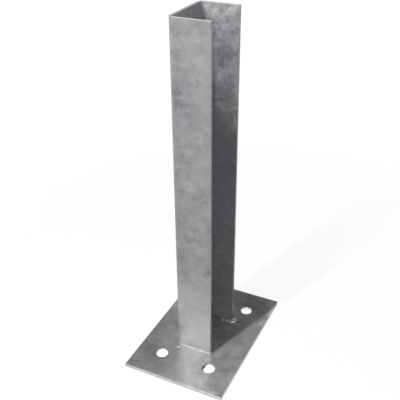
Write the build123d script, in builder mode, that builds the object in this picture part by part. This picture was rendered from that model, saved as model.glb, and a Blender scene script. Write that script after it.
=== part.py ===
from build123d import *
import math
import os

# Column base plate for a hollow post: a flat plate with four anchor holes, and an upright
# channel folded from one sheet that is stitch welded to the plate at the foot of its walls.
# The origin is the centre of the plate's underside. X runs along the short side towards the
# channel's open mouth, Y runs along the long side, and Z is up. Sizes are in millimetres.

# Plate
plate_width = 160.0  # along X
plate_length = 240.0  # along Y
plate_thickness = 5.0
plate_corner_radius = 1.5  # corners seen from above, blunted by the zinc
plate_edge_round = 0.6  # outer edge of the top face, drawn in by the shear

# Anchor holes, for 16 mm anchors
hole_diameter = 18.0
hole_spacing_x = 80.0
hole_spacing_y = 150.0
hole_rim_round = 0.8  # edge drawn in by the punch on the top face

# Upright channel
sheet_thickness = 4.0
channel_depth = 90.0  # over the two flanges, along Y
flange_width = 58.0  # from the web's outer face to the free edge, along X
channel_height = 510.0  # above the plate
inner_bend_radius = 4.0
free_edge_round = 0.5  # long edges of the two free ends

# Weld beads: overlapping ripples in the corner between a wall and the plate
bead_leg = 4.2  # reach of a ripple over the plate and up the wall
bead_pitch = 4.2  # from one ripple to the next
bead_sink = 2.0  # how far behind both faces a ripple's centre lies
bead_swell = 0.09  # share by which the hand-laid ripples differ in size
flange_bead_length = 14.0
web_bead_length = 22.0
back_bead_setback = 1.5  # from the free end of the back flange to the last ripple's centre
front_bead_setback = 9.0  # the same on the front flange
end_lump_radius = 6.8  # closing lump, wrapped round the back flange's free end
end_lump_sink = 2.2  # how far below the plate's top its centre lies
end_lump_overhang = 1.6  # how far past the free end its centre lies

# Faces that the pieces share: the channel stands at the middle of the plate
plate_top_z = plate_thickness
outer_bend_radius = inner_bend_radius + sheet_thickness
web_face_x = -flange_width / 2
free_end_x = flange_width / 2
web_inner_x = web_face_x + sheet_thickness
flange_outer_y = channel_depth / 2
flange_inner_y = flange_outer_y - sheet_thickness


def weld_bead(corner, length):
    # A row of ball-shaped ripples along the corner's X direction, cut off flush by the
    # plate's top and by the wall. The wall lies on the corner's +Y side.
    count = max(2, round(length / bead_pitch) + 1)
    pitch = length / (count - 1)
    wall = Plane(origin=corner.origin, x_dir=corner.x_dir, z_dir=corner.y_dir)
    with BuildPart(corner) as bead:
        for ripple in range(count):
            leg = bead_leg * (1 + bead_swell * math.sin(2.4 * ripple))
            with Locations((ripple * pitch, bead_sink, -bead_sink)):
                Sphere(radius=math.hypot(leg + bead_sink, bead_sink))
        split(bisect_by=corner, keep=Keep.TOP)
        split(bisect_by=wall, keep=Keep.BOTTOM)
    return bead.part


# Flat plate with its four holes
with BuildPart() as base_plate:
    with BuildSketch():
        RectangleRounded(plate_width, plate_length, plate_corner_radius)
        with GridLocations(hole_spacing_x, hole_spacing_y, 2, 2):
            Circle(hole_diameter / 2, mode=Mode.SUBTRACT)
    extrude(amount=plate_thickness)
    top = base_plate.faces().sort_by(Axis.Z)[-1]
    fillet(top.inner_wires().edges(), radius=hole_rim_round)
    top = base_plate.faces().sort_by(Axis.Z)[-1]
    fillet(top.outer_wire().edges(), radius=plate_edge_round)
base_plate.part.label = "base_plate"

# Upright folded from one sheet: the outer line of its section, thickened inwards
with BuildPart() as channel_post:
    with BuildSketch(Plane.XY.offset(plate_top_z)):
        with BuildLine():
            FilletPolyline(
                (free_end_x, -flange_outer_y),
                (web_face_x, -flange_outer_y),
                (web_face_x, flange_outer_y),
                (free_end_x, flange_outer_y),
                radius=outer_bend_radius,
            )
            offset(amount=sheet_thickness, side=Side.RIGHT)
        make_face()
    extrude(amount=channel_height)
    free_edges = channel_post.edges().filter_by(Axis.Z).group_by(Axis.X)[-1]
    fillet(free_edges, radius=free_edge_round)
channel_post.part.label = "channel_post"

# Bead inside the back flange, closed by a lump that wraps round the flange's free end
back_start_x = free_end_x - back_bead_setback - flange_bead_length
back_corner = Plane(origin=(back_start_x, flange_inner_y, plate_top_z), x_dir=(1, 0, 0), z_dir=(0, 0, 1))
with BuildPart() as weld_back:
    with Locations((free_end_x + end_lump_overhang, flange_inner_y, plate_top_z - end_lump_sink)):
        Sphere(radius=end_lump_radius)
    split(bisect_by=Plane.XY.offset(plate_top_z), keep=Keep.TOP)
    split(bisect_by=Plane.XZ.offset(-flange_outer_y), keep=Keep.TOP)
    add(channel_post.part, mode=Mode.SUBTRACT)
    add(weld_bead(back_corner, flange_bead_length))
weld_back.part.label = "weld_back"

# Bead inside the front flange
front_start_x = free_end_x - front_bead_setback
front_corner = Plane(origin=(front_start_x, -flange_inner_y, plate_top_z), x_dir=(-1, 0, 0), z_dir=(0, 0, 1))
with BuildPart() as weld_front:
    add(weld_bead(front_corner, flange_bead_length))
weld_front.part.label = "weld_front"

# Bead inside the web, half way between the flanges
web_corner = Plane(origin=(web_inner_x, -web_bead_length / 2, plate_top_z), x_dir=(0, 1, 0), z_dir=(0, 0, 1))
with BuildPart() as weld_web:
    add(weld_bead(web_corner, web_bead_length))
weld_web.part.label = "weld_web"

os.makedirs("parts", exist_ok=True)
export_step(base_plate.part, "parts/base_plate.step")
export_step(channel_post.part, "parts/channel_post.step")
export_step(weld_back.part, "parts/weld_back.step")
export_step(weld_front.part, "parts/weld_front.step")
export_step(weld_web.part, "parts/weld_web.step")
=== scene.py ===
import math
import bmesh
import bpy
import numpy as np
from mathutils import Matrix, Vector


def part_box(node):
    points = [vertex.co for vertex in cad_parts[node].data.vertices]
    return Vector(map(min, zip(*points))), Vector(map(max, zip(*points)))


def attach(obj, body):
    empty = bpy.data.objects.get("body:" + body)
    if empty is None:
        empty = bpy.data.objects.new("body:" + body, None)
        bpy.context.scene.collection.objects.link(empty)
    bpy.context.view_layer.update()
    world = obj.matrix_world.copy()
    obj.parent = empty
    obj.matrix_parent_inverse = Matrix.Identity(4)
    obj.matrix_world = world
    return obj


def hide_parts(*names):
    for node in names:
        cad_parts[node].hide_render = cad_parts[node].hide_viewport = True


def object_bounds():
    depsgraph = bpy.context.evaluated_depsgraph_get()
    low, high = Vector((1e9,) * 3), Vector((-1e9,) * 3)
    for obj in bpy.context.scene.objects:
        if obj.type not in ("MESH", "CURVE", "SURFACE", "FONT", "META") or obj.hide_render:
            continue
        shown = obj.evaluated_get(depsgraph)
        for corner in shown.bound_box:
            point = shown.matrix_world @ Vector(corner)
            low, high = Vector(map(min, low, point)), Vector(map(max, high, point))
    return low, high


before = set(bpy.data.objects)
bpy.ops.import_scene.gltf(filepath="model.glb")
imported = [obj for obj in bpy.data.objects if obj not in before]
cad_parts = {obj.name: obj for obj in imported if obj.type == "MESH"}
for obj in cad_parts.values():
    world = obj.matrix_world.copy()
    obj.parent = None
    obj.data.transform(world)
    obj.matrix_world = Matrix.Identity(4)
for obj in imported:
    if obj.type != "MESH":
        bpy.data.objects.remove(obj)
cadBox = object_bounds()

# Galvanised column base plate. The frame gives the plate, the folded channel and three plain weld
# beads. Added here are rippled beads in their place, a thin seam of zinc round the channel's
# outer foot, a pool of it in the inner corner, and a few drops of weld spatter.

# Where the frame's pieces lie, in metres
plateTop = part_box("base_plate")[1].z
channelLow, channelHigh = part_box("channel_post")

channelSheet = {
    "thickness": 0.004,
    "outerBend": 0.008,  # radius of the two long bends, outside
    "endRound": 0.0005,  # long edges of the free ends
}

print("stage: frame loaded, plate top at", round(plateTop, 4))


def meshFromGrids(name, grids, closed=False):
    # Each grid of points (rows, columns, xyz) becomes quads between neighbours. In a closed shape
    # the last column joins the first, both end rows are capped and the faces turn outwards.
    faces, first = [], 0
    for points in grids:
        rows, columns = points.shape[:2]
        index = first + np.arange(rows * columns).reshape(rows, columns)
        first += rows * columns
        ring = np.hstack([index, index[:, :1]]) if closed else index
        quads = np.stack([ring[:-1, :-1], ring[1:, :-1], ring[1:, 1:], ring[:-1, 1:]], axis=-1)
        faces += quads.reshape(-1, 4).tolist()
        if closed:
            faces += [index[0, ::-1].tolist(), index[-1].tolist()]
    mesh = bpy.data.meshes.new(name)
    mesh.from_pydata(np.vstack([points.reshape(-1, 3) for points in grids]).tolist(), [], faces)
    if closed:
        shape = bmesh.new()
        shape.from_mesh(mesh)
        bmesh.ops.recalc_face_normals(shape, faces=shape.faces)
        shape.to_mesh(mesh)
        shape.free()
    mesh.polygons.foreach_set("use_smooth", np.ones(len(mesh.polygons), dtype=bool))
    piece = bpy.data.objects.new(name, mesh)
    bpy.context.scene.collection.objects.link(piece)
    return piece


def straightRoute(start, end, outward, step):
    # Evenly spaced points from start to end, all facing the same way
    count = max(2, int(round(math.dist(start, end) / step)) + 1)
    share = np.linspace(0.0, 1.0, count)[:, None]
    points = (1 - share) * np.array(start, float) + share * np.array(end, float)
    return points, np.tile(np.array(outward, float), (count, 1))


def arcRoute(centre, radius, fromAngle, toAngle, step, hollow=False):
    # Points on an arc, angles in degrees, facing away from its centre or, if hollow, towards it.
    # There are at least five of them, so that a small arc stays round.
    count = max(5, int(round(abs(math.radians(toAngle - fromAngle)) * radius / step)) + 1)
    angle = np.radians(np.linspace(fromAngle, toAngle, count))
    spoke = np.stack([np.cos(angle), np.sin(angle)], axis=1)
    return np.array(centre, float) + radius * spoke, -spoke if hollow else spoke


def joinRoutes(stretches):
    # Stretches laid end to end, without the point that two neighbours share, and the distance
    # from the start to each point
    points, facing = (
        np.vstack([part[1:] if number else part for number, part in enumerate(parts)])
        for parts in zip(*stretches)
    )
    steps = np.hypot(*np.diff(points, axis=0).T)
    return points, facing, np.concatenate([[0.0], np.cumsum(steps)])


def carryProfile(name, points, facing, away, up):
    # A closed profile stood on the plate along a route: each of its points lies away from the
    # wall and up from the plate's top by the given distances, one row for each point of the route
    grid = np.empty((*away.shape, 3))
    grid[..., :2] = points[:, None] + facing[:, None] * away[..., None]
    grid[..., 2] = plateTop + up
    return meshFromGrids(name, [grid], closed=True)


def waves(distance, lengths, phases):
    # A smooth uneven curve between -1 and 1: the mean of sines of unlike length
    angles = [2 * np.pi * distance / length + phase for length, phase in zip(lengths, phases)]
    return sum(np.sin(angle) for angle in angles) / len(angles)


footSeam = {
    "piece": "zinc_foot_seam",
    "reach": 0.0009,  # over the plate
    "rise": 0.0012,  # up the wall
    "unevenness": 0.15,
    "hollowness": 0.5,  # 0 is a straight slope, 1 a full quarter round
    "buried": 0.0003,  # how far its corner lies inside the wall and the plate
    "taper": 0.001,  # length over which it rises from nothing at each end
    "step": 0.0008,  # from one profile to the next along the route
}

pooledZinc = {
    "piece": "zinc_inner_pool",
    "reach": 0.0062,
    "rise": 0.0030,
    "unevenness": 0.12,
    "hollowness": 0.9,
    "buried": 0.0003,
    "taper": 0.012,
    "step": 0.001,
}

zincWaves = ((0.037, 0.013, 0.0061), (0.4, 2.0, 4.1))  # lengths and phases of their unevenness
zincAcross = 9  # points of their slope
quarterRoundSag = 0.205  # of a quarter round below the straight slope, as a share of its legs


def footOutside(sheet, step):
    # Round the channel's outside at the foot, with both of its free ends
    x0, y0, x1, y1 = channelLow.x, channelLow.y, channelHigh.x, channelHigh.y
    bend, thick, end = sheet["outerBend"], sheet["thickness"], sheet["endRound"]
    return [
        arcRoute((x1 - end, y0 + thick - end), end, 90, 0, step / 4),
        straightRoute((x1, y0 + thick - end), (x1, y0 + end), (1, 0), step),
        arcRoute((x1 - end, y0 + end), end, 0, -90, step / 4),
        straightRoute((x1 - end, y0), (x0 + bend, y0), (0, -1), step),
        arcRoute((x0 + bend, y0 + bend), bend, 270, 180, step),
        straightRoute((x0, y0 + bend), (x0, y1 - bend), (-1, 0), step),
        arcRoute((x0 + bend, y1 - bend), bend, 180, 90, step),
        straightRoute((x0 + bend, y1), (x1 - end, y1), (0, 1), step),
        arcRoute((x1 - end, y1 - end), end, 90, 0, step / 4),
        straightRoute((x1, y1 - end), (x1, y1 - thick + end), (1, 0), step),
        arcRoute((x1 - end, y1 - thick + end), end, 0, -90, step / 4),
    ]


def footInside(sheet, step):
    # Along the three inner walls at the foot, from one free end to the other
    x0, y0, x1, y1 = channelLow.x, channelLow.y, channelHigh.x, channelHigh.y
    bend, thick, end = sheet["outerBend"], sheet["thickness"], sheet["endRound"]
    inner = bend - thick
    return [
        straightRoute((x1 - end, y1 - thick), (x0 + bend, y1 - thick), (0, -1), step),
        arcRoute((x0 + bend, y1 - bend), inner, 90, 180, step, hollow=True),
        straightRoute((x0 + thick, y1 - bend), (x0 + thick, y0 + bend), (1, 0), step),
        arcRoute((x0 + bend, y0 + bend), inner, 180, 270, step, hollow=True),
        straightRoute((x0 + bend, y0 + thick), (x1 - end, y0 + thick), (0, 1), step),
    ]


def buildZincFillet(seam, stretches):
    # Zinc run into the corner between a wall and the plate. Its profile is the straight slope
    # between both toes, sagging towards the corner by half a sine wave. Its size is an uneven
    # wave that grows from nothing, as a parabola does, at both ends of the route.
    points, facing, distance = joinRoutes(stretches)
    near = (np.minimum(distance, distance[-1] - distance) / seam["taper"]).clip(0.0, 1.0)
    size = (1 + seam["unevenness"] * waves(distance, *zincWaves)) * (1 - (1 - near) ** 2)
    slope = np.linspace(0.0, 1.0, zincAcross)
    sag = seam["hollowness"] * quarterRoundSag * np.sin(np.pi * slope)
    away = seam["reach"] * size[:, None] * np.append(slope - sag, 0.0)
    up = seam["rise"] * size[:, None] * np.append(1 - slope - sag, 0.0)
    away[:, 0] = away[:, -1] = -seam["buried"]
    up[:, -2:] = -seam["buried"]
    piece = carryProfile(seam["piece"], points, facing, away, up)
    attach(piece, "root")
    return piece


beadShape = {
    "reach": 0.0062,  # over the plate
    "rise": 0.0042,  # up the wall
    "fullness": 1.15,  # power of the profile: 1 is a quarter round, 2 a straight slope
    "pitch": 0.0023,  # from one ripple to the next
    "rippleHeight": 0.00028,
    "rippleRound": 0.7,  # power of a ripple's section: the lower, the sharper its valleys
    "rippleSweep": 0.45,  # how far a ripple's crescent trails at the toes, in pitches
    "unevenness": 0.12,
    "unevenWaves": ((0.0094, 0.0041), (0.7, 3.0)),  # their lengths and phases
    "lumpiness": 0.00035,  # height of the swellings between the ripples
    "lumpWaves": (  # two that cross: share along, shift across, lengths and phases
        (1.0, 0.0016, (0.0031, 0.0019), (0.2, 1.1)),
        (0.3, 0.0020, (0.0023, 0.0012), (2.2, 0.6)),
    ),
    "toeFade": 0.6,  # power by which ripples and swellings fade out towards both toes
    "endRound": 0.004,  # length over which a bead's blunt end rises
    "buried": 0.0003,
    "step": 0.00025,
    "across": 22,  # points of the profile
}

# The bead in view starts wider and ends in a lump that wraps round the flange's free end
endLump = {
    "reach": 0.0072,  # over the plate from the free end's corner
    "height": 0.0056,
    "fullness": 0.5,
    "lean": 0.4,  # how far its steep flank leans back for each metre of height
    "spread": 0.0034,  # length along the route over which the bead swells
    "setback": 0.0012,  # from the free end's corner
    "tail": 0.75,  # least share of the lump that is left beyond its middle
    "faceShare": 0.85,  # of its reach, where it wraps round the free end
    "faceLength": 0.003,  # over which it draws in to that
    "startReach": 1.3,  # how much wider the bead is where it starts
    "startRise": 0.75,
    "startSetback": 0.0025,
    "craterDepth": 0.0018,  # hollow left where the arc broke off
    "craterSpread": 0.0020,
}

spatter = {
    "piece": "weld_spatter",
    "drops": (  # along X and Y from the back flange's free inner corner, and the radius
        (-0.0185, -0.0023, 0.0006),
        (-0.0121, -0.0064, 0.0005),
        (-0.0064, -0.0081, 0.0007),
        (0.0012, -0.0093, 0.0004),
        (0.0072, -0.0048, 0.0006),
        (0.0091, 0.0014, 0.0005),
        (-0.0152, -0.0091, 0.0004),
    ),
    "sunk": 0.35,  # share of the radius that lies inside the plate
    "rings": 12,
    "spokes": 18,
    "poleCap": 0.02,  # polar angle of the first ring, which is closed flat
}


def buildBead(name, node, stretches, shape, lump=None, lumpAt=0.0):
    # Fillet weld carried along the route. Over a quarter turn its profile lies up the wall by the
    # rise times the cosine and over the plate by the reach times the sine, both to a power, and
    # crescent ripples stand out along its normal. The lump mixes in its own sizes by a bell curve
    # along the route, and its crater is a bell curve taken away.
    points, facing, distance = joinRoutes(stretches)
    along = distance[:, None]
    start, stop = (
        np.sqrt(1 - (1 - length / shape["endRound"]).clip(0.0, 1.0) ** 2)
        for length in (distance, distance[-1] - distance)
    )
    ends = start if lump else start * stop  # a lump closes its own end
    swell = 1 + shape["unevenness"] * waves(distance, *shape["unevenWaves"])
    reach, rise = shape["reach"] * swell, shape["rise"] * swell
    power, lean = shape["fullness"], 0.0
    if lump:
        early = (1 - distance / lumpAt).clip(0.0, 1.0)
        late = ((distance - lumpAt) / lump["faceLength"]).clip(0.0, 1.0)
        hump = np.exp(-(((distance - lumpAt) / lump["spread"]) ** 2))
        hump = np.where(distance > lumpAt, np.maximum(hump, lump["tail"]), hump)
        reach = reach * (1 + (lump["startReach"] - 1) * early)
        rise = rise * (1 + (lump["startRise"] - 1) * early)
        reach = reach + (lump["reach"] - reach) * hump
        rise = rise + (lump["height"] - rise) * hump
        reach = reach * (1 + (lump["faceShare"] - 1) * late)
        power = power + (lump["fullness"] - power) * hump[:, None]
        lean = lump["lean"] * hump[:, None]
    turn = np.linspace(0.0, np.pi / 2, shape["across"])
    up = (rise * ends)[:, None] * np.cos(turn).clip(0.0, 1.0) ** power
    away = (reach * ends)[:, None] * np.sin(turn) ** power - lean * up * np.sin(turn)

    middle = 1 - np.abs(turn / (np.pi / 4) - 1) ** 2  # 0 at both toes, 1 half way between them
    phase = along / shape["pitch"] + shape["rippleSweep"] * middle
    ripple = 2 * np.abs(np.sin(np.pi * phase)) ** shape["rippleRound"] - 1
    crossing = [
        waves(share * along + shift * turn, lengths, phases)
        for share, shift, lengths, phases in shape["lumpWaves"]
    ]
    relief = shape["lumpiness"] * 2 * np.prod(crossing, axis=0) + shape["rippleHeight"] * ripple
    relief = relief * middle ** shape["toeFade"] * ends[:, None]
    if lump:
        aside = (turn - np.pi / 4) * lump["height"]
        crater = ((along - lumpAt) ** 2 + aside**2) / lump["craterSpread"] ** 2
        relief = relief - lump["craterDepth"] * np.exp(-crater)
    away = np.maximum(away + relief * np.sin(turn), 0.0)
    up = np.maximum(up + relief * np.cos(turn), 0.0)
    buried = np.full_like(along, -shape["buried"])
    away = np.hstack([buried, away, away[:, -1:], buried])
    up = np.hstack([up[:, :1], up, buried, buried])
    piece = carryProfile(name, points, facing, away, up)
    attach(piece, "root")
    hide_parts(node)
    return piece


def buildBeads(shape, lump, sheet):
    step, thick, end = shape["step"], sheet["thickness"], sheet["endRound"]
    freeX, webX = channelHigh.x, channelLow.x + thick
    backY, frontY = channelHigh.y - thick, channelLow.y + thick
    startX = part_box("weld_back")[0].x + lump["startSetback"]
    back = [
        straightRoute((startX, backY), (freeX - end, backY), (0, -1), step),
        arcRoute((freeX - end, backY + end), end, -90, 0, step / 8),
        straightRoute((freeX, backY + end), (freeX, channelHigh.y), (1, 0), step),
    ]
    lumpAt = freeX - end - startX + end * math.pi / 4 - lump["setback"]
    low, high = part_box("weld_front")
    front = [straightRoute((low.x, frontY), (high.x, frontY), (0, 1), step)]
    low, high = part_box("weld_web")
    web = [straightRoute((webX, low.y), (webX, high.y), (1, 0), step)]
    return [
        buildBead("weld_back_bead", "weld_back", back, shape, lump, lumpAt),
        buildBead("weld_front_bead", "weld_front", front, shape),
        buildBead("weld_web_bead", "weld_web", web, shape),
    ]


def buildSpatter(settings, sheet):
    # Small drops of weld metal on the plate: spheres given by rings around their upright axis,
    # each ring's radius and height being the sine and cosine of its polar angle
    cap = settings["poleCap"]
    polar = np.linspace(cap, np.pi - cap, settings["rings"])[:, None]
    around = np.linspace(0.0, 2 * np.pi, settings["spokes"], endpoint=False)[None, :]
    level, height = np.sin(polar), np.cos(polar) + 0 * around
    sphere = np.stack([level * np.cos(around), level * np.sin(around), height], axis=-1)
    corner = np.array([channelHigh.x, channelHigh.y - sheet["thickness"], plateTop])
    drops = []
    for alongX, alongY, radius in settings["drops"]:
        centre = corner + np.array([alongX, alongY, radius * (1 - 2 * settings["sunk"])])
        drops.append(centre + sphere * radius)
    piece = meshFromGrids(settings["piece"], drops, closed=True)
    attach(piece, "root")
    return piece


# Every node is made after those that feed it, and each mark is added up before the next is made,
# because the renderer works nodes out in that order and can hold only some 250 values at a time


def feed(tree, socket, value):
    # Links another node's socket to this one, or sets a plain value on it
    if isinstance(value, bpy.types.NodeSocket):
        tree.links.new(value, socket)
    else:
        socket.default_value = value


def mathNode(tree, operation, *values):
    node = tree.nodes.new("ShaderNodeMath")
    node.operation = operation
    for socket, value in zip(node.inputs, values):
        feed(tree, socket, value)
    return node.outputs[0]


def addUp(tree, values):
    total = values[0]
    for value in values[1:]:
        total = mathNode(tree, "ADD", total, value)
    return total


def weighted(tree, values, weights):
    # Sum of the values, each times its weight
    return addUp(tree, [mathNode(tree, "MULTIPLY", *pair) for pair in zip(values, weights)])


def aroundZero(tree, value, share):
    # A value between 0 and 1, centred on 0 and scaled
    return mathNode(tree, "MULTIPLY", mathNode(tree, "SUBTRACT", value, 0.5), share)


def mapRange(tree, value, low, high, toLow=0.0, toHigh=1.0, smooth=True):
    node = tree.nodes.new("ShaderNodeMapRange")
    node.interpolation_type = "SMOOTHSTEP" if smooth else "LINEAR"
    for socket, number in zip(node.inputs, (value, low, high, toLow, toHigh)):
        feed(tree, socket, number)
    return node.outputs[0]


def vectorNode(tree, operation, *values):
    node = tree.nodes.new("ShaderNodeVectorMath")
    node.operation = operation
    for socket, value in zip(node.inputs, values):
        feed(tree, socket, value)
    return node.outputs["Value" if operation == "LENGTH" else "Vector"]


def splitAxes(tree, place):
    node = tree.nodes.new("ShaderNodeSeparateXYZ")
    tree.links.new(place, node.inputs[0])
    return node.outputs


def mixColours(tree, share, first, second):
    node = tree.nodes.new("ShaderNodeMix")
    node.data_type = "VECTOR"
    for label, value in (("Factor", share), ("A", first), ("B", second)):
        feed(tree, node.inputs[label], value)
    return node.outputs["Result"]


def noiseNode(tree, place, scale, detail=3.0, roughness=0.5):
    node = tree.nodes.new("ShaderNodeTexNoise")
    values = {"Vector": place, "Scale": scale, "Detail": detail, "Roughness": roughness}
    for label, value in values.items():
        feed(tree, node.inputs[label], value)
    return node.outputs


def cellNode(tree, place, scale):
    node = tree.nodes.new("ShaderNodeTexVoronoi")
    feed(tree, node.inputs["Vector"], place)
    feed(tree, node.inputs["Scale"], scale)
    return node.outputs


def pushByNoise(tree, place, noise, width):
    # Each point moved by up to half the width either way
    offset = vectorNode(tree, "SUBTRACT", noise["Color"], (0.5, 0.5, 0.5))
    return vectorNode(tree, "ADD", place, vectorNode(tree, "MULTIPLY", offset, width))


def newGroup(name, inputs, outputs):
    # An empty shader node group with float or vector sockets and their first values
    group = bpy.data.node_groups.new(name, "ShaderNodeTree")
    for label, kind, value in inputs:
        socket = group.interface.new_socket(label, in_out="INPUT", socket_type=kind)
        if value is not None:
            socket.default_value = value
    for label, kind in outputs:
        group.interface.new_socket(label, in_out="OUTPUT", socket_type=kind)
    entry = group.nodes.new("NodeGroupInput")
    leave = group.nodes.new("NodeGroupOutput")
    return group, entry.outputs, leave.inputs


def placeGroup(tree, group, values):
    # A shared group placed in a material with the material's own values
    node = tree.nodes.new("ShaderNodeGroup")
    node.node_tree = group
    for label, value in values.items():
        feed(tree, node.inputs[label], value)
    return node.outputs


spangleLook = {
    "bendNoise": (70.0, 5.0, 0.6),  # bends the cells' borders: scale, detail and roughness
    "featherNoise": (2500.0, 0.0),  # very fine, blurs them: scale and detail
    "cloudNoise": (4.0, 0.55),  # detail and roughness
    "grainNoise": (700.0, 2.0),  # scale and detail
    "cells": ((1.0, 0.6), (0.55, 0.5), (0.25, 0.25)),  # size, in cell sizes, and share of the tone
    "grainTone": 0.14,
    "gloss": (0.6, 0.4),  # shares of the large cells and of the clouds
    "height": (0.9, 0.1),  # shares of the clouds and of the grain
    "glossReach": (0.2, 0.8),  # gloss at which the roughness is at its lower and upper value
    "hueLean": (0.3, 0.0, -0.5),  # how much of its tone a hue adds to red, green and blue
    "bumpDistance": 0.01,
}

softMark = {
    "frayScale": 260.0,
    "fray": 0.8,  # how far the noise draws its edge in, as a share of its size
    "edge": (0.55, 1.35),  # share of its size at which it is full, and at which it has gone
    "depth": 0.002,  # half its size across the face, so that it shows on that face alone
}


def buildSpangleGroup(look):
    # Zinc crystals: three sizes of soft-edged cells of unlike grey, their borders bent by noise,
    # over slow clouds and a fine grain. Tone is about 0, Gloss goes from 0 to 1, Height 0 to 1.
    group, entry, leave = newGroup(
        "zincSpangle",
        [
            ("Vector", "NodeSocketVector", None),
            ("Cell Size", "NodeSocketFloat", 0.016),
            ("Cloud Size", "NodeSocketFloat", 0.06),
            ("Cell Contrast", "NodeSocketFloat", 0.5),
            ("Cloud Contrast", "NodeSocketFloat", 0.5),
            ("Bend", "NodeSocketFloat", 0.003),
            ("Feather", "NodeSocketFloat", 0.008),
        ],
        [("Tone", "NodeSocketFloat"), ("Gloss", "NodeSocketFloat"), ("Height", "NodeSocketFloat")],
    )
    place = entry["Vector"]
    bent = pushByNoise(group, place, noiseNode(group, place, *look["bendNoise"]), entry["Bend"])
    fine = noiseNode(group, place, *look["featherNoise"])
    feathered = pushByNoise(group, bent, fine, entry["Feather"])
    layers = []
    for size, _ in look["cells"]:
        scale = mathNode(group, "DIVIDE", 1.0 / size, entry["Cell Size"])
        cells = cellNode(group, feathered, scale)
        split = group.nodes.new("ShaderNodeSeparateColor")
        group.links.new(cells["Color"], split.inputs[0])
        layers.append(split.outputs)
    cloudScale = mathNode(group, "DIVIDE", 1.0, entry["Cloud Size"])
    clouds = noiseNode(group, bent, cloudScale, *look["cloudNoise"])[0]
    grain = noiseNode(group, place, *look["grainNoise"])[0]

    greys = [aroundZero(group, layer[0], share) for layer, (_, share) in zip(layers, look["cells"])]
    tones = [
        mathNode(group, "MULTIPLY", addUp(group, greys), entry["Cell Contrast"]),
        aroundZero(group, clouds, entry["Cloud Contrast"]),
        aroundZero(group, grain, look["grainTone"]),
    ]
    group.links.new(addUp(group, tones), leave["Tone"])
    group.links.new(weighted(group, (layers[0][1], clouds), look["gloss"]), leave["Gloss"])
    group.links.new(weighted(group, (clouds, grain), look["height"]), leave["Height"])
    return group


def buildMarkGroup(look):
    # A soft oval patch on the plane across one axis: 1 in its middle, 0 beyond its size, with an
    # edge frayed by noise
    group, entry, leave = newGroup(
        "softMark",
        [
            ("Vector", "NodeSocketVector", None),
            ("Centre", "NodeSocketVector", None),
            ("Turn", "NodeSocketFloat", 0.0),
            ("Size", "NodeSocketVector", None),
            ("Axis", "NodeSocketVector", None),
        ],
        [("Mask", "NodeSocketFloat")],
    )
    fray = noiseNode(group, entry["Vector"], look["frayScale"])[0]
    offset = vectorNode(group, "SUBTRACT", entry["Vector"], entry["Centre"])
    turned = group.nodes.new("ShaderNodeVectorRotate")
    turned.rotation_type = "AXIS_ANGLE"
    for label, value in (("Vector", offset), ("Axis", entry["Axis"]), ("Angle", entry["Turn"])):
        group.links.new(value, turned.inputs[label])
    distance = vectorNode(group, "DIVIDE", turned.outputs[0], entry["Size"])
    distance = vectorNode(group, "LENGTH", distance)
    frayed = mathNode(group, "ADD", distance, mathNode(group, "MULTIPLY", fray, look["fray"]))
    group.links.new(mapRange(group, frayed, *look["edge"], 1.0, 0.0), leave["Mask"])
    return group


spangleGroup = buildSpangleGroup(spangleLook)
markGroup = buildMarkGroup(softMark)

anchorHoles = {
    "middle": (0.04, 0.075),  # centre of one hole; the others mirror it
    "wallRadius": (0.0091, 0.0095),  # up to here it is wall, beyond it is rim
    # painted light: the walls are coloured near white, so that they look brightly lit
    "paintedLitWall": (0.97, 0.97, 0.97),
    "floorGlow": 1.0,  # of the pale floor seen through the holes, which lights their walls
    "paintedShade": (0.08, 0.08, 0.09),  # painted shade, in the front right hole and on its rim, on the -X side away from the light
    "paintedShadeRadius": (0.0101, 0.0109),
    "paintedShadeReach": (-0.0066, -0.0034),  # distance along X from the hole's axis
    "paintedShadeInset": 0.0026,  # how much further off the axis it starts on the wall
}

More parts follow.
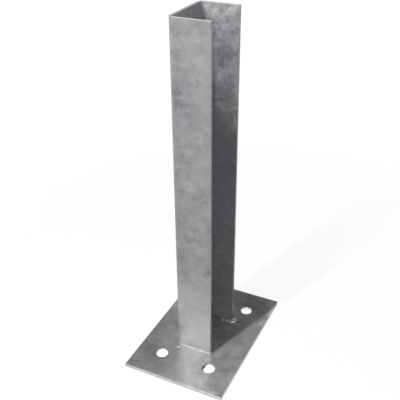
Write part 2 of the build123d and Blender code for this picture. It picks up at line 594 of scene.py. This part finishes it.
plateZinc = {
    "name": "plateZinc",
    "colour": (0.857, 0.859, 0.868),
    "metallic": 0.73,
    "specular": 0.5,
    "roughness": (0.37, 0.47),
    "bump": 0.02,
    "hue": 0.05,
    "spangle": {
        "Cell Size": 0.022,
        "Cloud Size": 0.05,
        "Cell Contrast": 0.24,
        "Cloud Contrast": 0.50,
        "Bend": 0.012,
        "Feather": 0.005,
    },
    "streaks": {"turn": 27, "length": 0.030, "width": 0.004, "contrast": 0.24},
    "edges": {  # the sheared sides
        "reach": (0.0793, 0.1193),  # distance from the middle along X or Y at which they start
        "speckleSize": 0.0035,
        "contrast": 0.7,
        # painted light: how much lighter the sides are made
        "paintedLight": 0.08,
    },
    "marksAcross": "Z",  # axis that the marked faces lie across
    # Some marks are painted shade and painted light: darker in the channel's cast shadow and in the
    # mirrored flange, lighter at the shadow's edge and in parts of the shadow; the rest are the
    # zinc's own patches, smears and drips
    "marksAndPaintedLight": (  # where each face lies across that axis, and the marks on it: their place along the
        # other two, half length, half width, degrees of turn, and how much lighter or darker
        (0.005, (  # top
            (-0.045, -0.056, 0.020, 0.011, 25, 0.10),
            (-0.023, -0.0525, 0.0045, 0.0018, 25, 0.80),
            (-0.069, -0.094, 0.012, 0.005, 30, 0.14),
            (-0.036, -0.098, 0.024, 0.012, 10, -0.10),
            (-0.066, -0.070, 0.012, 0.016, 0, -0.10),
            (0.043, -0.026, 0.013, 0.003, 70, 0.14),
            (0.069, -0.028, 0.016, 0.003, 40, 0.12),
            (0.076, 0.061, 0.022, 0.003, 80, 0.14),
            (0.079, 0.092, 0.020, 0.003, 88, 0.45),
            (-0.062, 0.004, 0.018, 0.007, 35, 0.06),
            (0.058, -0.104, 0.014, 0.008, 20, -0.06),
            (-0.062, -0.080, 0.044, 0.060, 0, -0.24),
            (0.070, 0.050, 0.020, 0.030, 0, 0.08),
            (0.064, -0.045, 0.020, 0.026, 0, 0.08),
            (0.045, -0.032, 0.012, 0.007, 60, 0.10),
            (0.004, -0.106, 0.034, 0.014, 10, -0.07),
            (0.066, -0.115, 0.012, 0.004, 8, 0.30),
            (-0.030, -0.117, 0.030, 0.003, 4, 0.15),
            (0.040, 0.096, 0.046, 0.034, 0, -0.29),
            (0.078, -0.086, 0.016, 0.036, 0, 0.20),
            (0.079, 0.090, 0.010, 0.030, 0, 0.24),
            (0.025, -0.060, 0.015, 0.046, 0, -0.19),
            (0.056, -0.018, 0.026, 0.014, 0, 0.14),
            (-0.064, -0.012, 0.028, 0.056, 0, -0.09),
            (0.047, 0.034, 0.020, 0.030, 0, -0.24),
            (0.076, 0.110, 0.014, 0.016, 0, 0.40),
            (-0.062, 0.062, 0.050, 0.060, 0, 0.14),
            (0.034, -0.092, 0.016, 0.014, 0, -0.14),
            (0.041, -0.043, 0.013, 0.012, 0, 0.20),
            (0.060, -0.080, 0.014, 0.012, 0, 0.14),
            (0.014, 0.026, 0.020, 0.018, 0, -0.16),
            (0.056, -0.103, 0.022, 0.011, 0, -0.11),
            (0.075, 0.052, 0.008, 0.014, 0, 0.12),
        )),
    ),
}

channelZinc = {
    "name": "channelZinc",
    "colour": (0.471, 0.477, 0.489),
    # painted light: a lighter colour low down, standing in for light reflected up off the plate
    "paintedFootLight": (0.55, 0.55, 0.55),
    "paintedFootLightReach": (0.09, 0.17),  # height above the floor over which it gives way
    "metallic": 0.11,
    "specular": 0.86,
    "roughness": (0.21, 0.31),
    "bump": 0.02,
    "hue": 0.15,
    "stretch": (1.0, 1.0, 1.1),  # of the spangle's place, so that its cells are less tall
    "spangle": {
        "Cell Size": 0.018,
        "Cloud Size": 0.05,
        "Cell Contrast": 0.35,
        "Cloud Contrast": 0.40,
        "Bend": 0.011,
        "Feather": 0.003,
    },
    "sides": {  # how the finish differs outside, inside and on the web's inner face, with painted light and shade inside
        "calm": 0.45,  # times the contrast outside near the foot
        "calmHeight": (0.10, 0.19),  # height over which it grows to the full contrast
        "inside": (0.0412, 0.0430),  # distance from the middle plane, from inner to outer faces
        "contrast": (0.4, 2.0),  # times the contrast on the three inner faces, low and high up
        "contrastHeight": (0.31, 0.42),
        "paintedLight": 0.08,  # painted light: how much lighter the inner faces grow higher up
        "paintedLightHeight": (0.13, 0.20),
        "paintedShadeTint": (0.985, 1.0, 1.02),  # painted shade: a bluish tint of the shaded inner faces
        "webFace": (-0.0220, -0.0206),  # along X, from the web and its bend to the flange
        "webMiddle": -0.027,  # along X, half way through the web
        "webContrast": 0.3,  # times the contrast on the web's inner face
        "webPaintedLight": (0.25, -0.03),  # painted light and shade on the web's inner face: near the front flange and near the back one
        "webPaintedLightReach": (-0.035, 0.030),  # along Y, where the one gives way to the other
        "webRoughness": 0.3,  # added there
    },
    "topEndHighlight": {  # painted highlight on the sheared top end
        "colours": ((0.72, 0.72, 0.72), (1.0, 1.0, 1.0)),  # on the web and on the flanges
        "span": (-0.0245, -0.0230),  # along X, where the one gives way to the other
        "height": (0.5144, 0.5148),  # over which the faces give way to it
    },
    "crystals": {  # which the marks follow
        "size": 0.008,
        "bend": 0.008,
        "bendSize": 0.006,
        "share": 0.7,  # of the way to its crystal's middle that each point is moved
    },
    "marksAcross": "Y",
    # Some marks are painted light and shade, following how the light falls on the flanges; the rest
    # are the zinc's own patches
    "marksAndPaintedLight": (
        (-0.045, (  # outside of the front flange: the zinc's own patches, with painted light low down
            (-0.020, 0.467, 0.016, 0.007, 0, -0.16),
            (-0.008, 0.453, 0.030, 0.014, 5, -0.12),
            (-0.024, 0.427, 0.019, 0.024, 0, -0.28),
            (0.004, 0.434, 0.014, 0.006, 0, -0.16),
            (-0.016, 0.399, 0.024, 0.014, 0, -0.20),
            (0.018, 0.479, 0.015, 0.020, 0, -0.08),
            (0.016, 0.420, 0.020, 0.040, 0, 0.08),
            (0.016, 0.354, 0.018, 0.006, 0, -0.12),
            (0.018, 0.340, 0.018, 0.016, 0, 0.08),
            (-0.020, 0.352, 0.016, 0.012, 0, -0.10),
            (-0.022, 0.234, 0.018, 0.018, 0, -0.12),
            (0.003, 0.226, 0.018, 0.008, 0, -0.18),
            (0.006, 0.262, 0.030, 0.022, 0, 0.06),
            (0.026, 0.212, 0.012, 0.036, 0, -0.10),
            (-0.020, 0.176, 0.018, 0.018, 0, -0.14),
            (-0.010, 0.148, 0.016, 0.004, 0, -0.18),
            (-0.012, 0.413, 0.026, 0.014, 0, -0.30),
            (-0.003, 0.425, 0.018, 0.008, 0, -0.28),
            (0.020, 0.365, 0.014, 0.012, 0, 0.20),
            (-0.022, 0.303, 0.010, 0.018, 0, -0.28),
            (-0.016, 0.335, 0.020, 0.014, 0, -0.24),
            (0.007, 0.494, 0.018, 0.016, 0, 0.22),
            (-0.018, 0.503, 0.018, 0.016, 0, -0.22),
            (0.010, 0.194, 0.020, 0.012, 0, 0.24),
            (-0.006, 0.209, 0.018, 0.010, 0, -0.22),
            (0.026, 0.162, 0.010, 0.012, 0, -0.35),
            (0.004, 0.078, 0.080, 0.022, 3, 0.08),
            (-0.010, 0.102, 0.052, 0.036, 0, 0.18),
            (0.000, 0.040, 0.030, 0.050, 0, 0.13),
            (0.000, 0.009, 0.050, 0.007, 0, -0.12),
            (0.010, 0.437, 0.010, 0.008, 0, -0.14),
            (-0.022, 0.062, 0.012, 0.012, 0, 0.12),
            (0.018, 0.160, 0.010, 0.006, 0, 0.14),
            (-0.006, 0.497, 0.014, 0.008, 0, -0.14),
            (0.020, 0.016, 0.012, 0.008, 0, -0.12),
        )),
        (0.041, (  # inside of the back flange: painted light where the light falls high up and at the foot, among the zinc's own patches
            (0.012, 0.006, 0.036, 0.042, 0, 0.50),
            (0.008, 0.102, 0.044, 0.032, 0, -0.12),
            (0.004, 0.512, 0.040, 0.014, 0, 0.38),
            (-0.012, 0.502, 0.014, 0.018, 0, 0.24),
            (0.009, 0.502, 0.024, 0.010, 45, 0.50),
            (-0.001, 0.493, 0.016, 0.011, 0, 0.14),
            (-0.006, 0.484, 0.012, 0.010, 0, -0.26),
            (0.010, 0.486, 0.010, 0.012, 0, 0.25),
            (0.025, 0.490, 0.012, 0.014, 0, 0.28),
            (0.008, 0.388, 0.034, 0.018, 0, 0.18),
            (0.010, 0.378, 0.030, 0.012, 0, 0.36),
            (0.014, 0.426, 0.034, 0.018, 0, 0.18),
            (0.026, 0.400, 0.009, 0.040, 0, 0.40),
            (0.026, 0.359, 0.007, 0.018, 0, 0.75),
            (0.023, 0.469, 0.016, 0.013, 0, 0.48),
            (0.018, 0.508, 0.014, 0.008, 40, 0.40),
            (0.006, 0.454, 0.024, 0.012, 0, -0.20),
            (0.009, 0.467, 0.012, 0.010, 0, -0.22),
            (0.010, 0.437, 0.012, 0.010, 0, -0.30),
            (-0.002, 0.445, 0.014, 0.012, 0, 0.34),
            (0.000, 0.398, 0.020, 0.013, 0, -0.26),
            (0.010, 0.350, 0.040, 0.040, 0, 0.16),
            (-0.004, 0.503, 0.009, 0.008, 20, 0.40),
            (-0.016, 0.510, 0.006, 0.006, 0, 0.40),
            (0.022, 0.415, 0.010, 0.010, 0, 0.20),
            (0.010, 0.438, 0.060, 0.075, 0, -0.03),
            (-0.004, 0.466, 0.010, 0.010, 0, 0.18),
            (-0.006, 0.492, 0.008, 0.008, 0, 0.25),
            (0.012, 0.500, 0.008, 0.008, 0, 0.25),
            (0.027, 0.477, 0.009, 0.009, 0, 0.20),
            (0.018, 0.420, 0.010, 0.008, 0, 0.18),
            (0.003, 0.412, 0.009, 0.008, 0, 0.16),
            (0.024, 0.441, 0.012, 0.010, 0, 0.20),
            (0.020, 0.484, 0.012, 0.006, 0, 0.10),
            (0.008, 0.484, 0.008, 0.006, 0, 0.14),
            (0.001, 0.490, 0.005, 0.018, 0, -0.16),
            (0.012, 0.450, 0.010, 0.007, 0, -0.22),
            (0.018, 0.396, 0.007, 0.006, 0, -0.20),
        )),
    ),
}

seamZinc = {
    "name": "seamZinc",
    "colour": (0.83, 0.83, 0.84),
    "metallic": 0.35,
    "specular": 0.5,
    "roughness": (0.3, 0.4),
    "bump": 0.02,
    "hue": 0.0,
    "spangle": {
        "Cell Size": 0.006,
        "Cloud Size": 0.01,
        "Cell Contrast": 0.2,
        "Cloud Contrast": 0.2,
        "Bend": 0.002,
        "Feather": 0.001,
    },
}

weldZinc = {
    "name": "weldZinc",
    "colour": (0.97, 0.98, 0.99),
    "metallic": 0.75,
    "specular": 0.5,
    "roughness": (0.07, 0.14),
    "bump": 0.06,
    "hue": 0.0,
    "spangle": {
        "Cell Size": 0.003,
        "Cloud Size": 0.006,
        "Cell Contrast": 0.2,
        "Cloud Contrast": 0.3,
        "Bend": 0.001,
        "Feather": 0.001,
    },
}


def holeOffsets(tree, axes, holes):
    # Distances along X and Y from the nearest hole's axis, and the distance straight to it
    offsets = []
    for axis, middle in zip(("X", "Y"), holes["middle"]):
        nearest = mathNode(tree, "MULTIPLY", mathNode(tree, "SIGN", axes[axis]), middle)
        offsets.append(mathNode(tree, "SUBTRACT", axes[axis], nearest))
    squares = [mathNode(tree, "MULTIPLY", offset, offset) for offset in offsets]
    return (*offsets, mathNode(tree, "SQRT", mathNode(tree, "ADD", *squares)))


def holeWall(tree, axes, holes):
    # Hole walls painted near white, as if brightly lit, and painted shade on the -X side of the
    # front right hole and on its rim. Gives the mask and the colour of both.
    aside, _, distance = holeOffsets(tree, axes, holes)
    wall = mapRange(tree, distance, *holes["wallRadius"], 1.0, 0.0)
    aside = mathNode(tree, "ADD", aside, mathNode(tree, "MULTIPLY", wall, holes["paintedShadeInset"]))
    # Painted shade on the -X side of the front right hole
    paintedShade = mapRange(tree, distance, *holes["paintedShadeRadius"], 1.0, 0.0)
    for mask in (
        mapRange(tree, aside, *holes["paintedShadeReach"], 1.0, 0.0),
        mathNode(tree, "GREATER_THAN", axes["X"], 0.0),
        mathNode(tree, "LESS_THAN", axes["Y"], 0.0),
    ):
        paintedShade = mathNode(tree, "MULTIPLY", paintedShade, mask)
    colour = mixColours(tree, paintedShade, holes["paintedLitWall"], holes["paintedShade"])
    return mathNode(tree, "MAXIMUM", wall, paintedShade), colour


def paintedTopHighlight(tree, axes, end):
    # Mask and colour of the painted highlight on the channel's sheared top end
    colour = mixColours(tree, mapRange(tree, axes["X"], *end["span"]), *end["colours"])
    return mapRange(tree, axes["Z"], *end["height"]), colour


def crystalPlace(tree, place, crystals, across):
    # Each point moved along its face most of the way to the middle of its crystal, so that the
    # marks end at crystals' borders
    noise = noiseNode(tree, place, 1 / crystals["bendSize"])
    bent = pushByNoise(tree, place, noise, (crystals["bend"],) * 3)
    middle = cellNode(tree, bent, 1 / crystals["size"])["Position"]
    along = tuple(0.0 if part else crystals["share"] for part in across)
    move = vectorNode(tree, "MULTIPLY", vectorNode(tree, "SUBTRACT", middle, place), along)
    return vectorNode(tree, "ADD", place, move)


def markTone(tree, place, finish):
    # Sum of the finish's marks, each a soft oval on a face across the same axis: the zinc's own
    # patches together with painted light and shade
    across = finish["marksAcross"]
    normal = {"Y": (0.0, -1.0, 0.0), "Z": (0.0, 0.0, 1.0)}[across]  # out of the faces
    if "crystals" in finish:
        place = crystalPlace(tree, place, finish["crystals"], normal)

    def onFace(first, second, depth):
        return (first, depth, second) if across == "Y" else (first, second, depth)

    total = None
    for level, marksAndPaintedLight in finish["marksAndPaintedLight"]:
        for first, second, length, width, turn, strength in marksAndPaintedLight:
            mark = placeGroup(tree, markGroup, {
                "Vector": place,
                "Centre": onFace(first, second, level),
                "Turn": -math.radians(turn),
                "Size": onFace(length, width, softMark["depth"]),
                "Axis": normal,
            })
            tone = mathNode(tree, "MULTIPLY", mark["Mask"], strength)
            total = tone if total is None else mathNode(tree, "ADD", total, tone)
    return total


def streakTone(tree, place, streaks):
    # Long faint drag marks: noise drawn out along one direction
    turned = tree.nodes.new("ShaderNodeVectorRotate")
    turned.rotation_type = "Z_AXIS"
    turned.inputs["Angle"].default_value = -math.radians(streaks["turn"])
    tree.links.new(place, turned.inputs["Vector"])
    scale = (1 / streaks["length"], 1 / streaks["width"], 1 / streaks["width"])
    noise = noiseNode(tree, vectorNode(tree, "MULTIPLY", turned.outputs[0], scale), 1.0)
    return aroundZero(tree, noise[0], streaks["contrast"])


def edgeTone(tree, place, axes, edges):
    # Speckle on the upright sides, made lighter by painted light, told from the faces by their
    # distance from the middle
    outside = [
        mathNode(tree, "GREATER_THAN", mathNode(tree, "ABSOLUTE", axes[axis]), reach)
        for axis, reach in zip(("X", "Y"), edges["reach"])
    ]
    speckle = noiseNode(tree, place, 1 / edges["speckleSize"])[0]
    tone = mathNode(tree, "ADD", aroundZero(tree, speckle, edges["contrast"]), edges["paintedLight"])
    return mathNode(tree, "MULTIPLY", mathNode(tree, "MAXIMUM", *outside), tone)


def sidesTone(tree, axes, tone, sides):
    # The spangle is calmer outside near the foot, stronger inside high up and weak on the web.
    # Painted light makes the inner faces lighter higher up, and painted light and shade grade the
    # web's inner face. Gives the tone, and the masks of all three inner faces and of the web's
    # inner face alone.
    aside = mathNode(tree, "ABSOLUTE", axes["Y"])
    inner = mapRange(tree, aside, *sides["inside"], 1.0, 0.0)
    onWeb = mapRange(tree, axes["X"], *sides["webFace"], 1.0, 0.0)
    for mask in (inner, mathNode(tree, "GREATER_THAN", axes["X"], sides["webMiddle"])):
        onWeb = mathNode(tree, "MULTIPLY", onWeb, mask)
    gain = mapRange(tree, axes["Z"], *sides["contrastHeight"], *sides["contrast"])
    calm = mapRange(tree, axes["Z"], *sides["calmHeight"], sides["calm"], 1.0)
    gain = mapRange(tree, aside, *sides["inside"], gain, calm)
    webGain = mapRange(tree, onWeb, 0.0, 1.0, 1.0, sides["webContrast"])
    gain = mathNode(tree, "MULTIPLY", gain, webGain)
    paintedLight = mapRange(tree, axes["Z"], *sides["paintedLightHeight"], 0.0, sides["paintedLight"])
    shade = mapRange(tree, axes["Y"], *sides["webPaintedLightReach"], *sides["webPaintedLight"])
    return weighted(tree, (tone, inner, onWeb), (gain, paintedLight, shade)), inner, onWeb


def zincMaterial(finish, holes=None):
    # Base colour and roughness vary with the spangle, and a slight bump makes reflections waver
    material = bpy.data.materials.new(finish["name"])
    material.use_nodes = True
    tree = material.node_tree
    shader = tree.nodes["Principled BSDF"]
    place = tree.nodes.new("ShaderNodeTexCoord").outputs["Object"]
    axes = splitAxes(tree, place)
    stretched = vectorNode(tree, "MULTIPLY", place, finish.get("stretch", (1.0, 1.0, 1.0)))
    spangle = placeGroup(tree, spangleGroup, {"Vector": stretched, **finish["spangle"]})
    tone, colour, metallic = spangle["Tone"], finish["colour"], finish["metallic"]
    roughness = mapRange(tree, spangle["Gloss"], *spangleLook["glossReach"], *finish["roughness"])

    # Painted light: the channel grows lighter towards its foot
    if "paintedFootLight" in finish:
        aboveFoot = mapRange(tree, axes["Z"], *finish["paintedFootLightReach"])
        colour = mixColours(tree, aboveFoot, finish["paintedFootLight"], colour)
    if "sides" in finish:
        sides = finish["sides"]
        tone, inner, onWeb = sidesTone(tree, axes, tone, sides)
        paintedShadeTint = mixColours(tree, inner, (1.0, 1.0, 1.0), sides["paintedShadeTint"])
        colour = vectorNode(tree, "MULTIPLY", colour, paintedShadeTint)
        rougher = mathNode(tree, "MULTIPLY", onWeb, sides["webRoughness"])
        roughness = mathNode(tree, "ADD", roughness, rougher)
    if "streaks" in finish:
        tone = mathNode(tree, "ADD", tone, streakTone(tree, place, finish["streaks"]))
    if "edges" in finish:
        tone = mathNode(tree, "ADD", tone, edgeTone(tree, place, axes, finish["edges"]))
    if "marksAndPaintedLight" in finish:
        marksAndPaintedLight = markTone(tree, place, finish)
        tone = mathNode(tree, "ADD", tone, marksAndPaintedLight)
        # The lighter a mark is, the less it mirrors, so that painted light shows in full
        metallic = mapRange(tree, marksAndPaintedLight, 0.0, 1.0, metallic, 0.0, smooth=False)

    # Darker patches lean towards blue, lighter ones towards a warmer grey
    lean = tuple(1.0 + finish["hue"] * part for part in spangleLook["hueLean"])
    brightness = vectorNode(tree, "MULTIPLY", lean, tone)
    brightness = vectorNode(tree, "ADD", brightness, (1.0, 1.0, 1.0))
    colour = vectorNode(tree, "MULTIPLY", brightness, colour)

    paintedMask = None  # mask of the places painted in their own colour: the hole walls with their painted light and shade, or the top end's painted highlight
    if holes:
        paintedMask, paintedMaskColour = holeWall(tree, axes, holes)
    if "topEndHighlight" in finish:
        paintedMask, paintedMaskColour = paintedTopHighlight(tree, axes, finish["topEndHighlight"])
    if paintedMask:
        colour = mixColours(tree, paintedMask, colour, paintedMaskColour)
        metallic = mapRange(tree, paintedMask, 0.0, 1.0, metallic, 0.0)
    bump = tree.nodes.new("ShaderNodeBump")
    bump.inputs["Strength"].default_value = finish["bump"]
    bump.inputs["Distance"].default_value = spangleLook["bumpDistance"]
    tree.links.new(spangle["Height"], bump.inputs["Height"])
    shader.inputs["Specular IOR Level"].default_value = finish["specular"]
    shader.inputs["Metallic"].default_value = finish["metallic"]
    for label, value in (("Base Color", colour), ("Metallic", metallic), ("Roughness", roughness)):
        feed(tree, shader.inputs[label], value)
    tree.links.new(bump.outputs["Normal"], shader.inputs["Normal"])
    return material


def paint(piece, material):
    piece.data.materials.clear()
    piece.data.materials.append(material)


plateMaterial = zincMaterial(plateZinc, anchorHoles)
channelMaterial = zincMaterial(channelZinc)
seamMaterial = zincMaterial(seamZinc)
weldMaterial = zincMaterial(weldZinc)
paint(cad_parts["base_plate"], plateMaterial)
paint(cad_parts["channel_post"], channelMaterial)
paint(buildZincFillet(footSeam, footOutside(channelSheet, footSeam["step"])), seamMaterial)
paint(buildZincFillet(pooledZinc, footInside(channelSheet, pooledZinc["step"])), channelMaterial)
for bead in buildBeads(beadShape, endLump, channelSheet):
    paint(bead, weldMaterial)
paint(buildSpatter(spatter, channelSheet), weldMaterial)
print("stage: zinc, seam and beads made")

studio = {
    "floorColour": (0.76, 0.76, 0.76),
    "floorGlow": (0.92, 1.0),  # share of white that the camera sees, near and far
    "mirrorGlow": (0.62, 1.0),  # the same for what the zinc mirrors
    "floorGlowReach": (0.45, 1.3),  # metres from the object between which they grow
    "floorSeenColour": (0.16, 0.16, 0.16),  # lit part of what the camera sees, with the shadow
    "floorSize": 60.0,
    "keyTurn": 17.6,  # degrees from -Y towards -X from which the light comes
    "keySpread": 3.6,  # degrees of turn that each softbox covers
    "keyBoxes": ((32, 50, 8.2), (50, 66, 20.3)),  # degrees of height it covers, and its power
    "keyDistance": 2.2,
    "domeColour": (0.1055, 0.110, 0.1145),
    "whiteUpTo": (0.09, 0.28),  # height in the sky, as a sine, up to which mirrors see white
}


def mixShaders(tree, share, first, second):
    node = tree.nodes.new("ShaderNodeMixShader")
    for socket, value in zip(node.inputs, (share, first, second)):
        tree.links.new(value, socket)
    return node.outputs[0]


def floorMaterial(settings, holes):
    # Lit pale floor. The camera and mirrors see it as white, with a faint shadow left in it, and
    # it glows in the holes
    material = bpy.data.materials.new("paleFloor")
    material.use_nodes = True
    tree = material.node_tree
    tree.nodes.clear()
    place = tree.nodes.new("ShaderNodeTexCoord").outputs["Object"]
    distance = vectorNode(tree, "LENGTH", place)
    seenGlow, mirrorGlow = (
        mapRange(tree, distance, *settings["floorGlowReach"], *settings[key])
        for key in ("floorGlow", "mirrorGlow")
    )
    fromAxis = holeOffsets(tree, splitAxes(tree, place), holes)[2]
    holeGlow = mapRange(tree, fromAxis, *holes["wallRadius"], holes["floorGlow"], 0.0)

    def glowing(strength, colour=None):
        # A plain emission, with a matt colour under it if one is given
        glow = tree.nodes.new("ShaderNodeEmission")
        tree.links.new(strength, glow.inputs["Strength"])
        if colour is None:
            return glow.outputs[0]
        matt = tree.nodes.new("ShaderNodeBsdfDiffuse")
        matt.inputs["Color"].default_value = (*colour, 1.0)
        both = tree.nodes.new("ShaderNodeAddShader")
        tree.links.new(matt.outputs[0], both.inputs[0])
        tree.links.new(glow.outputs[0], both.inputs[1])
        return both.outputs[0]

    surface = glowing(holeGlow, settings["floorColour"])
    seen = glowing(seenGlow, settings["floorSeenColour"])
    path = tree.nodes.new("ShaderNodeLightPath").outputs
    surface = mixShaders(tree, path["Is Glossy Ray"], surface, glowing(mirrorGlow))
    surface = mixShaders(tree, path["Is Transmission Ray"], surface, seen)
    surface = mixShaders(tree, path["Is Camera Ray"], surface, seen)
    output = tree.nodes.new("ShaderNodeOutputMaterial")
    tree.links.new(surface, output.inputs["Surface"])
    return material


def buildFloor(settings):
    half = settings["floorSize"] / 2
    left, right = ([[x, -half, 0.0], [x, half, 0.0]] for x in (-half, half))
    floor = meshFromGrids("floor", [np.array([left, right])])
    paint(floor, floorMaterial(settings, anchorHoles))


def buildKeyLight(settings):
    # Softboxes one above the other, all facing the object's middle
    middle = np.array([0.0, 0.0, (cadBox[0].z + cadBox[1].z) / 2])
    distance, turn = settings["keyDistance"], math.radians(settings["keyTurn"])
    for number, (low, high, power) in enumerate(settings["keyBoxes"], 1):
        height = math.radians((low + high) / 2)
        level = math.cos(height)
        lamp = bpy.data.lights.new(f"keySoftbox{number}", "AREA")
        lamp.shape = "RECTANGLE"
        lamp.size = 2 * distance * level * math.tan(math.radians(settings["keySpread"] / 2))
        lamp.size_y = 2 * distance * math.tan(math.radians((high - low) / 2))
        lamp.energy = power
        light = bpy.data.objects.new(f"keySoftbox{number}", lamp)
        bpy.context.scene.collection.objects.link(light)
        direction = np.array([-math.sin(turn) * level, -math.cos(turn) * level, math.sin(height)])
        light.location = middle + direction * distance
        light.rotation_euler = (math.pi / 2 - height, 0.0, -turn)


def buildWorld(settings):
    # A dim dome that lights all round. The camera sees it as white, and mirrors do low down
    world = bpy.data.worlds.new("studioWorld")
    bpy.context.scene.world = world
    world.use_nodes = True
    tree = world.node_tree
    tree.nodes.clear()
    height = splitAxes(tree, tree.nodes.new("ShaderNodeTexCoord").outputs["Generated"])["Z"]
    path = tree.nodes.new("ShaderNodeLightPath").outputs
    lowDown = mapRange(tree, height, *settings["whiteUpTo"], 1.0, 0.0)
    mirrored = mathNode(tree, "MULTIPLY", path["Is Glossy Ray"], lowDown)
    asWhite = mathNode(tree, "MAXIMUM", path["Is Camera Ray"], mirrored)
    skies = []
    for colour in (settings["domeColour"], (1.0, 1.0, 1.0)):
        sky = tree.nodes.new("ShaderNodeBackground")
        sky.inputs["Color"].default_value = (*colour, 1.0)
        skies.append(sky.outputs[0])
    output = tree.nodes.new("ShaderNodeOutputWorld")
    tree.links.new(mixShaders(tree, asWhite, *skies), output.inputs["Surface"])


buildFloor(studio)
buildKeyLight(studio)
buildWorld(studio)
print("stage: floor, light and world made")

viewpoint = {
    "place": (0.33647, -0.70793, 0.70360),
    "turn": (58.643, 0.427, 25.754),  # degrees about X, Y and Z
    "lens": 57.205,
    "shiftY": 0.03658,
    "clip": (0.01, 100.0),  # nearest and furthest distance seen
}


def buildCamera(settings):
    lens = bpy.data.cameras.new("viewCamera")
    lens.lens = settings["lens"]
    lens.shift_y = settings["shiftY"]
    lens.clip_start, lens.clip_end = settings["clip"]
    camera = bpy.data.objects.new("viewCamera", lens)
    camera.location = settings["place"]
    camera.rotation_euler = [math.radians(angle) for angle in settings["turn"]]
    bpy.context.scene.collection.objects.link(camera)
    bpy.context.scene.camera = camera


buildCamera(viewpoint)
bpy.context.scene.view_settings.view_transform = "Standard"
